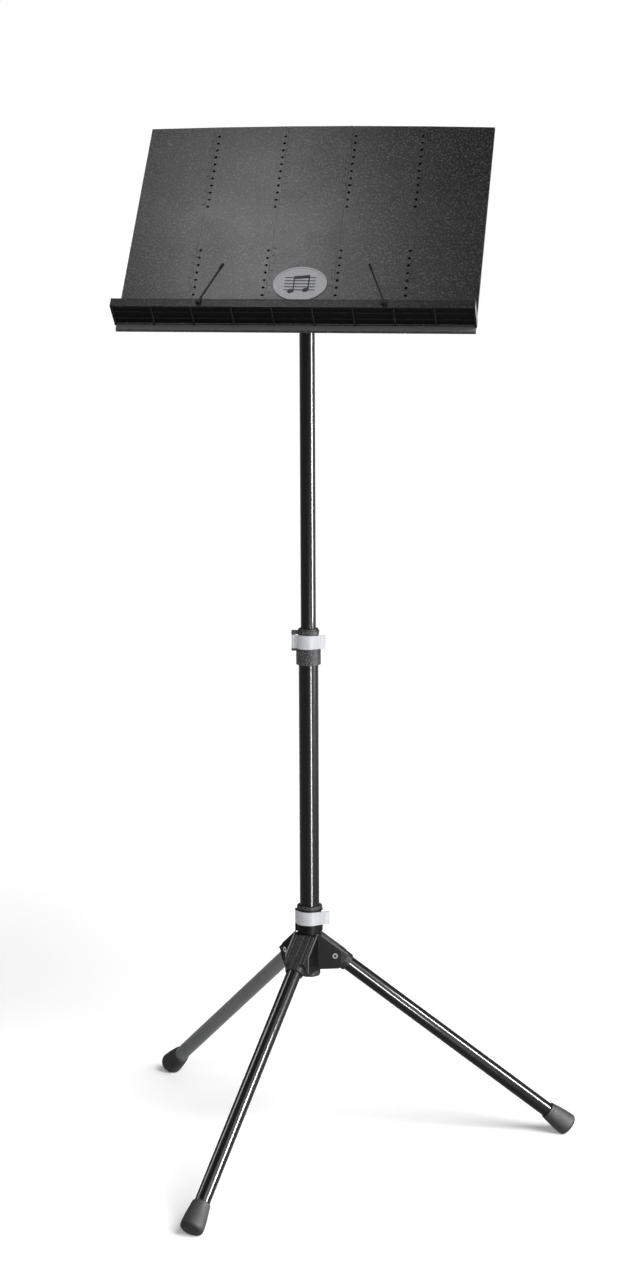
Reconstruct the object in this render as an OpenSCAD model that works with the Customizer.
// Folding music stand: tripod base, two-piece telescopic column with two cam-lever
// clamps, tilting desk of five hinged panels, a lift-off sheet tray and two page holders.
// Millimetres, +Z up. The floor is z = 0, X runs along the desk's width and the desk
// faces -Y. The origin is on the floor, under the middle of the stand's footprint.

/* [Column] */
// Radius of the upper tube
upper_r = 10; // [8:0.5:11]
// Radius of the lower tube
lower_r = 13; // [13:0.5:13.5]
// Wall of both tubes
tube_wall = 1.2; // [0.8:0.1:1.4]
// Height of the lower tube's top end
lower_top = 684; // [560:1:720]
// Height of the upper tube's lower end
upper_bottom = 600; // [500:1:610]
// Height of the desk's tilt axis
tilt_z = 1179; // [900:1:1300]

/* [Legs] */
// Leg length from the rivet to the end of the foot cap
leg_len = 416; // [330:1:460]
// Slope of the open legs below level
leg_slope = 38.6; // [32:0.1:44]
// Direction of the first leg, from +X
leg_turn = 14.5; // [0:0.5:60]
// Distance from the column axis to each leg's rivet
pivot_r = 32.5; // [32:0.5:36]
// Radius of the leg tubes
leg_r = 10; // [8:0.5:10]

/* [Desk] */
// Width of the whole desk
desk_w = 458; // [430:1:520]
// Height of the centre panel
desk_h = 346; // [320:1:380]
// Width of the centre panel
centre_w = 86; // [80:1:96]
// Width of each inner side panel
inner_w = 97; // [90:1:110]
// Fall of the top edge from the middle to the corners
crown = 4; // [0:0.5:8]
// Thickness of the panels with their rear ribs
panel_t = 5; // [4.5:0.1:6]
// Thickness of the panels' front skin
skin_t = 2.4; // [2:0.1:3]
// Lean of the desk, back from upright
desk_tilt = 43; // [10:1:80]

/* [Tray] */
// Length of the sheet tray
tray_w = 461; // [430:1:530]
// Depth of the tray from the desk's face to the front of its lip
tray_d = 38.5; // [30:0.5:60]
// Height of the front lip
lip_h = 12.5; // [10:0.5:20]
// Number of cross ribs under the tray
tray_ribs = 8; // [4:1:12]
// Length of each page holder
holder_len = 65; // [50:1:80]
// Lean of the page holders towards the middle
holder_lean = 21.8; // [0:0.1:40]

/* [Clamps] */
// Height of both cam levers
lever_h = 18.1; // [16:0.1:18.4]
// Thickness of the cam levers' band
lever_t = 2.8; // [2:0.1:3]
// Direction of the levers' pins, from +X
lever_turn = 196; // [180:1:220]

/* [Hidden] */
$fn = 96;
eps = 0.01;
run_gap = 0.05;
clear = 0.3;

// Base: channel for each leg, and the hub's levels measured from the rivets
channel_half = 17.6;
cheek_t = 1.8;
cheek_in = channel_half / tan(60) - 1;
cheek_out = pivot_r + 8.4;
fold_r = channel_half / sin(60);
leg_top = 10.3;
foot_round = 5;
foot_flat_r = 10.5;
foot_sink = 0.6;
pivot_z = (leg_len - foot_round) * sin(leg_slope) + foot_flat_r * cos(leg_slope) + foot_round - foot_sink;
hub_bottom = pivot_z - 18;
collar_z = pivot_z + 32.6;
hub_lever_z = collar_z + 10.1;
hub_flange_z = hub_lever_z + lever_h + 0.2;
hub_top = hub_flange_z + 6.3;
core_r = 14.6;
collar_r = 17.6;
groove_r = 15.6;
liner_r = 13.8;
hub_pin_r = 17;
eye_r = 2.5;
lever_pin_r = 1.2;
fitting_len = 24;
fitting_swing = 33.4;
lever_sweep = 93;
sleeve_r = 12.3;

// Upper clamp
clamp_top = lower_top + 27.5;
clamp_lever_z = lower_top + 3.7;
clamp_bottom = lower_top - 18;
neck_r = 13.6;
clamp_pin_r = 19.8;
bush_r = 11.4;
tube_top = tilt_z - 22;

// Desk: seams and hinges; desk frame has x along the width, y up the face, z out of it
pivot_u = 120;
pivot_d = 30;
inner_seam = centre_w / 2;
outer_seam = inner_seam + inner_w;
hinge_pitch = 12.3;
hinge_z = -panel_t - 0.6;
knuckle_r = 2.7;
hinge_pin_r = 1;
hole_inset = 4;
lower_hinge = [57, 7];
upper_hinge = [204.8, 11];
seam_gap = 0.15;
ear_t = 3.5;
tongue_half = 7;
ear_r = 12;
bolt_r = 3;
floor_u = 9;
lip_u = 6;
tray_gap = 0.2;
holder_x = 117;
holder_u = 12.8;
holder_z = 2.4;
holder_r = 1.3;
badge_w = 69;
badge_h = 55;
badge_u = 75;

// Middle of the footprint, from the feet's reach
foot_reach = pivot_r + leg_len * cos(leg_slope) + 10;
stand_x = -foot_reach * (cos(leg_turn) + cos(leg_turn + 120)) / 2;
stand_y = -foot_reach * (sin(leg_turn + 120) + sin(leg_turn + 240)) / 2;

LEGS = [0, 1, 2];

// ---------- placing ----------

module on_stand() {
  translate([stand_x, stand_y, 0]) children();
}

// x points away from the column, under leg k
module at_leg(k) {
  on_stand() rotate([0, 0, leg_turn + 120 * k]) children();
}

// origin on the rivet, x down along the open leg
module on_leg(k) {
  at_leg(k) translate([pivot_r, 0, pivot_z]) rotate([0, leg_slope, 0]) children();
}

// origin at the bottom edge of the desk's face, x along it, y up it, z out of it
module on_desk() {
  on_stand()
    translate([0, 0, tilt_z])
      rotate([90 - desk_tilt, 0, 0])
        translate([0, -pivot_u, pivot_d])
          children();
}

// ---------- simple shapes ----------

module rod(r, z0, z1) {
  translate([0, 0, z0]) cylinder(r = r, h = z1 - z0);
}

module ring(r_out, r_in, z0, z1) {
  difference() {
    rod(r_out, z0, z1);
    rod(r_in, z0 - 1, z1 + 1);
  }
}

// a rod along x
module x_rod(r, x0, x1) {
  translate([x0, 0, 0]) rotate([0, 90, 0]) cylinder(r = r, h = x1 - x0);
}

// a rod along y
module y_rod(r, y0, y1) {
  translate([0, y0, 0]) rotate([-90, 0, 0]) cylinder(r = r, h = y1 - y0);
}

module slab(x0, x1, y0, y1, z0, z1) {
  translate([x0, y0, z0]) cube([x1 - x0, y1 - y0, z1 - z0]);
}

// ---------- cam levers and their clamps ----------

// band round the clamp from its pin to the tab that a finger pulls; the pin is on -x
module cam_lever(band_r, pin_at, eye, z0, tab_len) {
  inset = 0.35;
  tab_turn = lever_sweep - 166;
  tab_set = 0.2;
  web_set = 0.5;
  difference() {
    union() {
      translate([0, 0, z0])
        rotate([0, 0, 180 + 14])
          rotate_extrude(angle = lever_sweep)
            translate([band_r, 0]) square([lever_t, lever_h]);
      // straight tab, a little lower than the band and bent outwards at its tip
      rotate([0, 0, tab_turn])
        translate([band_r + inset, 0, z0 + tab_set])
          linear_extrude(lever_h - 2 * tab_set)
            polygon([
              [0, -1.5], [lever_t - 2 * inset, -1.5], [lever_t - 2 * inset, tab_len],
              [lever_t - 2 * inset + 1.2, tab_len + 5.5], [1, tab_len + 5.5], [0, tab_len]
            ]);
      translate([-pin_at, 0, 0]) rod(eye, z0, z0 + lever_h);
      // web from the eye to the band
      translate([0, 0, z0 + web_set])
        linear_extrude(lever_h - 2 * web_set)
          polygon([
            [-pin_at - eye * 0.7, -0.4],
            [-pin_at + eye * 0.4, 0],
            [-(band_r + inset) * cos(17), -(band_r + inset) * sin(17)],
            [-(band_r + lever_t - inset) * cos(22), -(band_r + lever_t - inset) * sin(22)]
          ]);
    }
    translate([-pin_at, 0, 0]) rod(lever_pin_r + run_gap, z0 - 1, z0 + lever_h + 1);
    // finger grooves across the tab
    for (i = [0:2])
      rotate([0, 0, tab_turn])
        translate([band_r + lever_t - inset + 0.2, tab_len - 2 - 3 * i, 0])
          rod(0.5, z0 - 1, z0 + lever_h + 1);
  }
}

module pin_lug(pin_at, inner, r, z0, z1) {
  translate([-pin_at, 0, 0]) rod(r, z0, z1);
  slab(-pin_at, -inner, -r, r, z0, z1);
}

module on_pin_side() {
  on_stand() rotate([0, 0, lever_turn - 180]) children();
}

// ---------- base ----------

// side outline of a cheek, x from the column axis and y up from the hub's bottom edge
module cheek_outline() {
  rise = leg_top / cos(leg_slope);
  top_in = pivot_z - hub_bottom + rise - (cheek_in - pivot_r) * tan(leg_slope);
  top_out = pivot_z - hub_bottom + rise - (cheek_out - pivot_r) * tan(leg_slope);
  polygon([
    [cheek_in, 0],
    [cheek_out - 4, 0],
    [cheek_out - 1.2, 1.2],
    [cheek_out, 4],
    [cheek_out, top_out - 1],
    [cheek_out - 1, top_out + 0.8],
    [cheek_in, top_in]
  ]);
}

module cheek(side) {
  y0 = side > 0 ? channel_half : -channel_half + cheek_t;
  translate([0, y0, hub_bottom])
    rotate([90, 0, 0])
      linear_extrude(cheek_t) cheek_outline();
}

module hub_body() {
  color("#1d1e20")
    difference() {
      union() {
        on_stand() rod(core_r, hub_bottom, collar_z + 1);
        for (k = LEGS) {
          at_leg(k) cheek(1);
          at_leg(k) cheek(-1);
          // web from the core to the fold between two cheeks
          at_leg(k) rotate([0, 0, 60]) slab(core_r - 2, fold_r - 0.4, -2.5, 2.5, hub_bottom, pivot_z + 29);
        }
        on_stand() rod(collar_r, collar_z, hub_lever_z - 0.2);
        on_stand() rod(groove_r, hub_lever_z - 1, hub_flange_z + 1);
        on_stand() rod(collar_r, hub_flange_z, hub_top - 4.6);
        on_stand() rod(collar_r - 0.7, hub_top - 5, hub_top - 3.4);
        on_pin_side() pin_lug(hub_pin_r, 12, 2.7, hub_flange_z, hub_top - 4.6);
        on_pin_side() pin_lug(hub_pin_r, 12, 2.7, collar_z, hub_lever_z - 0.2);
      }
      on_stand() rod(liner_r, hub_bottom - 1, hub_top + 1);
      // pocket that the lever's eye turns in, and the hole for its pin
      on_pin_side() translate([-hub_pin_r, 0, 0]) rod(eye_r + clear, hub_lever_z - 0.2, hub_flange_z);
      on_pin_side() translate([-hub_pin_r, 0, 0]) rod(lever_pin_r, collar_z + 3, hub_top);
      // slit that lets the collar close on the tube
      on_stand() rotate([0, 0, lever_turn - 24]) slab(10, 30, -0.8, 0.8, collar_z + 4, hub_top + 1);
      for (k = LEGS)
        at_leg(k) translate([pivot_r, 0, pivot_z]) y_rod(3, -20, 20);
    }
}

module hub_liner() {
  color("#2b2c2f")
    on_stand()
      difference() {
        union() {
          rod(liner_r, hub_bottom + 0.4, hub_top - 3.3);
          rod(collar_r - 0.6, hub_top - 3.4, hub_top - 1);
          rod(collar_r - 1.2, hub_top - 1.1, hub_top);
        }
        rod(lower_r + run_gap, hub_bottom - 1, hub_top + 1);
        rotate([0, 0, lever_turn - 24]) slab(10, 30, -0.8, 0.8, collar_z + 4, hub_top + 1);
      }
}

module hub_lever_pin() {
  color("#b9bcc0")
    on_pin_side() translate([-hub_pin_r, 0, 0]) rod(lever_pin_r, collar_z + 3, hub_top - 4.4);
}

module hub_lever() {
  color("#d9dbde")
    on_pin_side() cam_lever(groove_r + 0.3, hub_pin_r, eye_r, hub_lever_z, 15);
}

module leg_rivet() {
  head = 1;
  difference() {
    union() {
      y_rod(3, -channel_half - head, channel_half + head);
      for (s = [-1, 1]) {
        y0 = s > 0 ? channel_half : -channel_half - head;
        y_rod(3.7, y0, y0 + head);
      }
    }
    y_rod(1.7, -channel_half - 3, channel_half + 3);
  }
}

module leg_rivets() {
  color("#d2d4d6")
    for (k = LEGS)
      at_leg(k) translate([pivot_r, 0, pivot_z]) leg_rivet();
}

// ---------- legs ----------

module leg_fitting(k) {
  half = channel_half - cheek_t - clear;
  body_end = 15;
  color("#232427")
    intersection() {
      on_leg(k)
        difference() {
          union() {
            // body between the cheeks, its inner end trimmed to swing under the collar
            intersection() {
              union() {
                slab(-40, body_end, -half, half, -9, leg_top);
                // two raised bars along the middle of the roof, and a rib on either side
                for (s = [-1, 1]) {
                  slab(-40, body_end - 1, min(s * 0.9, s * 8.4), max(s * 0.9, s * 8.4), leg_top - 1, leg_top + 1.1);
                  slab(-40, body_end - 1, s * 12.6 - 0.8, s * 12.6 + 0.8, leg_top - 1, leg_top + 0.8);
                }
              }
              y_rod(fitting_swing, -20, 20);
            }
            x_rod(sleeve_r, 2, fitting_len - 1);
            x_rod(sleeve_r - 0.6, fitting_len - 1.1, fitting_len);
            y_rod(10, -half, half);
          }
          x_rod(leg_r, 8.5, 60);
          y_rod(3 + run_gap, -20, 20);
        }
      // nothing reaches the hub's core
      at_leg(k) slab(core_r + clear, 80, -30, 30, hub_bottom - 60, collar_z + 20);
    }
}

module leg_tube(k) {
  color("#141517")
    on_leg(k)
      difference() {
        x_rod(leg_r, 8.5, leg_len - 6);
        x_rod(leg_r - tube_wall, 7, leg_len);
      }
}

// half outline of a foot cap, y measured up from its flat end
module foot_outline() {
  polygon([
    [0, 0], [foot_flat_r, 0], [foot_flat_r + foot_round, foot_round], [foot_flat_r + foot_round - 0.1, 9],
    [14.5, 20], [13.3, 29], [12.6, 33], [12.7, 34], [12.5, 35], [12.1, 35.4], [12, 38.4], [11.6, 39], [0, 39]
  ]);
  translate([foot_flat_r, foot_round]) circle(r = foot_round);
}

module foot_cap(k) {
  color("#34363a")
    difference() {
      on_leg(k)
        translate([leg_len, 0, 0])
          rotate([0, -90, 0])
            difference() {
              rotate_extrude() intersection() {
                foot_outline();
                square([30, 60]);
              }
              rod(leg_r, 6, 60);
              // shallow grooves round the rubber
              for (h = [11, 15, 19])
                translate([0, 0, h]) ring(20, 15.35 - 0.085 * (h - 9), 0, 0.9);
            }
      // the sole is pressed flat by the floor
      translate([-1000, -1000, -100]) cube([2000, 2000, 100]);
    }
}

// ---------- column ----------

module lower_tube() {
  color("#131416")
    on_stand() ring(lower_r, lower_r - tube_wall, hub_bottom, lower_top);
}

module column_plug() {
  color("#2a2b2e")
    on_stand() {
      rod(14.2, hub_bottom - 10, hub_bottom);
      rod(13.2, hub_bottom - 12, hub_bottom - 9.9);
      rod(lower_r - tube_wall, hub_bottom - eps, hub_bottom + 12);
    }
}

module upper_collar() {
  color("#2a2b2e")
    difference() {
      union() {
        on_stand() rod(16.3, clamp_bottom, clamp_lever_z - 0.3);
        on_stand() rod(neck_r, clamp_lever_z - 1, clamp_top - 4.6);
        on_stand() rod(neck_r + 0.7, clamp_top - 5, clamp_top);
        on_pin_side() pin_lug(clamp_pin_r, 10, 2.8, clamp_top - 5, clamp_top);
        on_pin_side() pin_lug(clamp_pin_r, 12, 2.8, clamp_lever_z - 3.2, clamp_lever_z - 0.3);
      }
      on_stand() rod(lower_r, clamp_bottom - 1, lower_top);
      on_stand() rod(bush_r, lower_top - 1, clamp_top + 1);
      on_pin_side() translate([-clamp_pin_r, 0, 0]) rod(eye_r + clear, clamp_lever_z - 0.3, clamp_top - 5);
      on_pin_side() translate([-clamp_pin_r, 0, 0]) rod(lever_pin_r, clamp_lever_z - 4, clamp_top + 1);
      on_stand() rotate([0, 0, lever_turn - 30]) slab(9, 30, -0.8, 0.8, clamp_lever_z, clamp_top + 1);
    }
}

module upper_lever_pin() {
  color("#b9bcc0")
    on_pin_side() translate([-clamp_pin_r, 0, 0]) rod(lever_pin_r, clamp_lever_z - 3.2, clamp_top + 0.6);
}

module upper_lever() {
  color("#d9dbde")
    on_pin_side() cam_lever(neck_r + 0.3, clamp_pin_r, eye_r, clamp_lever_z, 11.5);
}

module guide_bush() {
  color("#3a3c40")
    on_stand()
      difference() {
        union() {
          rod(bush_r, lower_top + 2, clamp_top + 0.5);
          rod(neck_r - 0.5, clamp_top + 0.3, clamp_top + 2);
        }
        rod(upper_r + run_gap, lower_top - 1, clamp_top + 4);
      }
}

module upper_tube() {
  color("#131416")
    on_stand() ring(upper_r, upper_r - tube_wall, upper_bottom, tube_top);
}

module tube_stop() {
  color("#3a3c40")
    on_stand()
      difference() {
        union() {
          rod(11.5, upper_bottom - 4, upper_bottom + 12);
          rod(10.8, upper_bottom + 11.9, upper_bottom + 14);
        }
        rod(upper_r, upper_bottom, upper_bottom + 20);
        rod(upper_r - 3, upper_bottom - 5, upper_bottom + 1);
      }
}

module tilt_head() {
  color("#232427")
    on_stand()
      difference() {
        union() {
          rod(13.2, tilt_z - 51, tilt_z - 19);
          rod(12.6, tilt_z - 52, tilt_z - 50.9);
          translate([0, 0, tilt_z]) x_rod(ear_r, -tongue_half, tongue_half);
          slab(-tongue_half, tongue_half, -11.4, 11.4, tilt_z - 20, tilt_z - 2);
        }
        rod(upper_r + run_gap, tilt_z - 60, tube_top + clear);
        translate([0, 0, tilt_z]) x_rod(bolt_r + run_gap, -20, 20);
      }
}

// ---------- desk: bracket and tilt bolt ----------

module at_tilt_axis() {
  on_desk() translate([0, pivot_u, -pivot_d]) children();
}

module bracket_ear(side) {
  x0 = side > 0 ? tongue_half + clear : -tongue_half - clear - ear_t;
  difference() {
    union() {
      translate([x0, 0, 0])
        rotate([90, 0, 90])
          linear_extrude(ear_t)
            polygon([
              [-25, pivot_d - panel_t - 0.5], [25, pivot_d - panel_t - 0.5],
              [ear_r - 0.4, 2.4], [ear_r, 0], [-ear_r, 0], [-ear_r + 0.4, 2.4]
            ]);
      x_rod(ear_r, x0, x0 + ear_t);
    }
    x_rod(bolt_r, x0 - 1, x0 + ear_t + 1);
  }
}

module desk_bracket() {
  color("#1d1e20") {
    at_tilt_axis() bracket_ear(1);
    at_tilt_axis() bracket_ear(-1);
    on_desk()
      difference() {
        slab(-31, 31, pivot_u - 30, pivot_u + 30, -panel_t - 2.5, -panel_t);
        for (x = [-24, 24], y = [-23, 23])
          translate([x, pivot_u + y, -20]) cylinder(r = 1.6, h = 40);
      }
  }
}

module bracket_screws() {
  color("#a9acb0")
    on_desk()
      for (x = [-24, 24], y = [-23, 23])
        translate([x, pivot_u + y, 0])
          difference() {
            union() {
              rod(1.6, -panel_t - 2.6, -1.6);
              rod(3.1, -panel_t - 4.3, -panel_t - 2.5);
            }
            // cross recess
            slab(-2, 2, -0.4, 0.4, -panel_t - 5, -panel_t - 3.3);
            slab(-0.4, 0.4, -2, 2, -panel_t - 5, -panel_t - 3.3);
          }
}

module tilt_bolt() {
  outer = tongue_half + clear + ear_t;
  color("#b9bcc0")
    at_tilt_axis() {
      x_rod(bolt_r, -outer - 1, outer + 13);
      translate([-outer - 4, 0, 0]) rotate([0, 90, 0]) cylinder(r = 5.8, h = 4, $fn = 6);
    }
}

module tilt_washer() {
  outer = tongue_half + clear + ear_t;
  color("#c4c6c8")
    at_tilt_axis()
      difference() {
        x_rod(7, outer, outer + 1.2);
        x_rod(bolt_r, outer - 1, outer + 3);
      }
}

module tilt_knob() {
  x0 = tongue_half + clear + ear_t + 1.4;
  color("#1a1b1d")
    at_tilt_axis()
      difference() {
        union() {
          x_rod(8, x0, x0 + 3);
          x_rod(13, x0 + 2.9, x0 + 13);
          x_rod(11.5, x0 + 12.9, x0 + 14.4);
        }
        x_rod(bolt_r + run_gap, x0 - 1, x0 + 12);
        for (a = [0:45:315])
          rotate([a, 0, 0]) translate([0, 15.6, 0]) x_rod(4.6, x0 + 2.8, x0 + 16);
      }
}

// ---------- desk: panels ----------

function top_at(x) = desk_h - crown * pow(2 * x / desk_w, 2);

// heights of the knuckle centres of one group
function knuckles(group) = [for (i = [0:group[1] - 1]) group[0] + hinge_pitch * i];
ALL_KNUCKLES = concat(knuckles(lower_hinge), knuckles(upper_hinge));

module knuckle_rods(seam, r, len, shift) {
  for (u = ALL_KNUCKLES)
    translate([seam, u + shift - len / 2, hinge_z]) rotate([-90, 0, 0]) cylinder(r = r, h = len, $fn = 48);
}

// own is true for the panel whose knuckles carry the holes, and false for its neighbour
module seam_knuckles(seam, own) {
  knuckle_rods(seam, knuckle_r, hinge_pitch / 2 - clear, own ? 0 : hinge_pitch / 2);
}

module seam_clearance(seam, own) {
  knuckle_rods(seam, knuckle_r + clear, hinge_pitch / 2 + clear, own ? hinge_pitch / 2 : 0);
}

module seam_bores(seam) {
  for (g = [lower_hinge, upper_hinge])
    translate([seam, g[0] - hinge_pitch, hinge_z])
      rotate([-90, 0, 0]) cylinder(r = hinge_pin_r + run_gap, h = hinge_pitch * (g[1] + 1), $fn = 48);
}

// ribbed plate from x0 to x1
module panel_plate(x0, x1) {
  rib = 2.2;
  difference() {
    translate([0, 0, -panel_t])
      linear_extrude(panel_t)
        polygon([[x0, 0], [x1, 0], [x1, top_at(x1)], [x0, top_at(x0)]]);
    for (i = [0:5]) {
      y0 = i * (desk_h - crown) / 6;
      slab(x0 + 6.5, x1 - 6.5, y0 + rib, y0 + (desk_h - crown) / 6 - rib / 2, -panel_t - 1, -skin_t);
    }
  }
}

// blind holes beside a seam, one for each knuckle that this panel owns
module knuckle_holes(x) {
  for (u = ALL_KNUCKLES)
    translate([x, u, -3]) cylinder(r = 1.9, h = 5, $fn = 32);
}

// short shallow grooves between the holes on the other side of the seam
module knuckle_marks(x, dir) {
  for (u = ALL_KNUCKLES)
    slab(min(x, x + dir * 5), max(x, x + dir * 5), u + 3.2, u + 4, -0.4, 1);
}

// left and right seam of a panel; owner says whether its own knuckles carry the holes
module side_panel(x0, x1, owner, seams) {
  difference() {
    union() {
      difference() {
        panel_plate(x0, x1);
        for (s = seams)
          seam_clearance(s, owner);
      }
      for (s = seams)
        seam_knuckles(s, owner);
    }
    for (s = seams)
      seam_bores(s);
    for (s = seams) {
      inward = s < (x0 + x1) / 2 ? 1 : -1;
      if (owner) knuckle_holes(s + inward * hole_inset);
      else knuckle_marks(s + inward * 1.2, inward);
    }
  }
}

module centre_panel() {
  color("#303236")
    on_desk()
      difference() {
        union() {
          side_panel(-inner_seam + seam_gap, inner_seam - seam_gap, false, [-inner_seam, inner_seam]);
          slab(-32, 32, pivot_u - 31, pivot_u + 31, -panel_t, -skin_t + eps);
        }
        for (x = [-24, 24], y = [-23, 23])
          translate([x, pivot_u + y, -20]) cylinder(r = 1.6, h = 18.4);
        // slots for the tray's tabs
        for (x = [-27, 27])
          slab(x - 5.3, x + 5.3, 11.8, 14.4, -20, 20);
      }
}

module inner_panel(side) {
  a = inner_seam + seam_gap;
  b = outer_seam - seam_gap;
  color("#2e3034")
    on_desk()
      side_panel(side > 0 ? a : -b, side > 0 ? b : -a, true, [side * inner_seam, side * outer_seam]);
}

module outer_panel(side) {
  a = outer_seam + seam_gap;
  b = desk_w / 2;
  color("#2c2e32")
    on_desk()
      side_panel(side > 0 ? a : -b, side > 0 ? b : -a, false, [side * outer_seam]);
}

module hinge_pins(seam) {
  color("#9ea1a5")
    on_desk()
      for (g = [lower_hinge, upper_hinge])
        translate([seam, g[0] - hinge_pitch * 0.2, hinge_z])
          rotate([-90, 0, 0]) cylinder(r = hinge_pin_r, h = hinge_pitch * (g[1] - 0.3), $fn = 48);
}

// oval plate with a raised rim and five raised staff lines
module badge() {
  color("#8d9095")
    on_desk()
      translate([0, badge_u, 0]) {
        linear_extrude(0.8) scale([1, badge_h / badge_w]) circle(d = badge_w);
        linear_extrude(1.3)
          difference() {
            scale([1, badge_h / badge_w]) circle(d = badge_w);
            scale([1, (badge_h - 4) / (badge_w - 4)]) circle(d = badge_w - 4);
          }
        for (i = [-2:2])
          slab(-20, 20, i * 5 - 0.5, i * 5 + 0.5, 0.7, 1.2);
      }
}

// ---------- tray and page holders ----------

module tray() {
  half = tray_w / 2;
  bay = tray_w / (tray_ribs + 1);
  color("#242528")
    on_desk()
      difference() {
        union() {
          slab(-half, half, floor_u, floor_u + 2, tray_gap, tray_d - 0.5);
          slab(-half, half, lip_u, lip_u + lip_h, tray_d - 2.4, tray_d);
          slab(-half, half, lip_u + 2, lip_u + 11, tray_gap, tray_gap + 1.8);
          for (s = [-1, 1])
            slab(min(s * half, s * (half - 2)), max(s * half, s * (half - 2)), lip_u, lip_u + lip_h,
              tray_gap, tray_d);
          for (i = [1:tray_ribs])
            slab(-half + bay * i - 0.7, -half + bay * i + 0.7, lip_u + 0.6, floor_u + 0.1, tray_gap, tray_d - 1);
          for (z = [12, 24])
            slab(-half + 1, half - 1, floor_u - 0.9, floor_u + 0.1, z, z + 1);
        }
        for (x = [-holder_x, holder_x])
          translate([x, holder_u, tray_d - 4]) cylinder(r = 1.5, h = 10);
        // shallow line along the lip's face
        slab(-half - 1, half + 1, lip_u + 9.8, lip_u + 10.5, tray_d - 0.4, tray_d + 1);
      }
}

// tabs on the tray's rear strip that push into the centre panel
module tray_hooks() {
  color("#242528")
    on_desk()
      for (x = [-27, 27]) {
        slab(x - 5, x + 5, 12.1, 14.1, -panel_t - 1, tray_gap);
        slab(x - 4, x + 4, 12.5, 13.7, -panel_t - 1.6, -panel_t - 0.9);
      }
}

module holder_rivets() {
  color("#d2d4d6")
    on_desk()
      for (x = [-holder_x, holder_x])
        translate([x, holder_u, 0]) {
          rod(1.5, tray_d - 3, tray_d + 4);
          rod(2.6, tray_d + 3.6, tray_d + 4.4);
        }
}

module on_holder(side) {
  on_desk()
    translate([side * holder_x, holder_u, tray_d])
      rotate([0, 0, side * holder_lean])
        children();
}

module page_holder(side) {
  color("#17181a")
    on_holder(side)
      difference() {
        union() {
          rod(3.6, clear, 3.3);
          translate([0, 0, holder_z]) y_rod(holder_r, 2.9, holder_len - 2);
        }
        rod(1.5 + run_gap, -1, 5);
      }
}

module holder_tip(side) {
  color("#202124")
    on_holder(side)
      translate([0, 0, holder_z])
        difference() {
          union() {
            y_rod(2, holder_len - 9, holder_len - 0.8);
            y_rod(1.6, holder_len - 1, holder_len);
          }
          y_rod(holder_r, holder_len - 12, holder_len - 2);
        }
}

// ---------- nodes ----------

hub_body();
hub_liner();
hub_lever_pin();
hub_lever();
leg_rivets();
leg_fitting(0);  // leg_fitting_1
leg_fitting(1);  // leg_fitting_2
leg_fitting(2);  // leg_fitting_3
leg_tube(0);  // leg_tube_1
leg_tube(1);  // leg_tube_2
leg_tube(2);  // leg_tube_3
foot_cap(0);  // foot_cap_1
foot_cap(1);  // foot_cap_2
foot_cap(2);  // foot_cap_3
lower_tube();
column_plug();
upper_collar();
upper_lever_pin();
upper_lever();
guide_bush();
upper_tube();
tube_stop();
tilt_head();
tilt_bolt();
tilt_washer();
tilt_knob();
desk_bracket();
bracket_screws();
centre_panel();
inner_panel(-1);  // inner_panel_left
inner_panel(1);  // inner_panel_right
outer_panel(-1);  // outer_panel_left
outer_panel(1);  // outer_panel_right
hinge_pins(-outer_seam);  // hinge_pins_1
hinge_pins(-inner_seam);  // hinge_pins_2
hinge_pins(inner_seam);  // hinge_pins_3
hinge_pins(outer_seam);  // hinge_pins_4
badge();
tray();
tray_hooks();
holder_rivets();
page_holder(-1);  // page_holder_left
page_holder(1);  // page_holder_right
holder_tip(-1);  // holder_tip_left
holder_tip(1);  // holder_tip_right
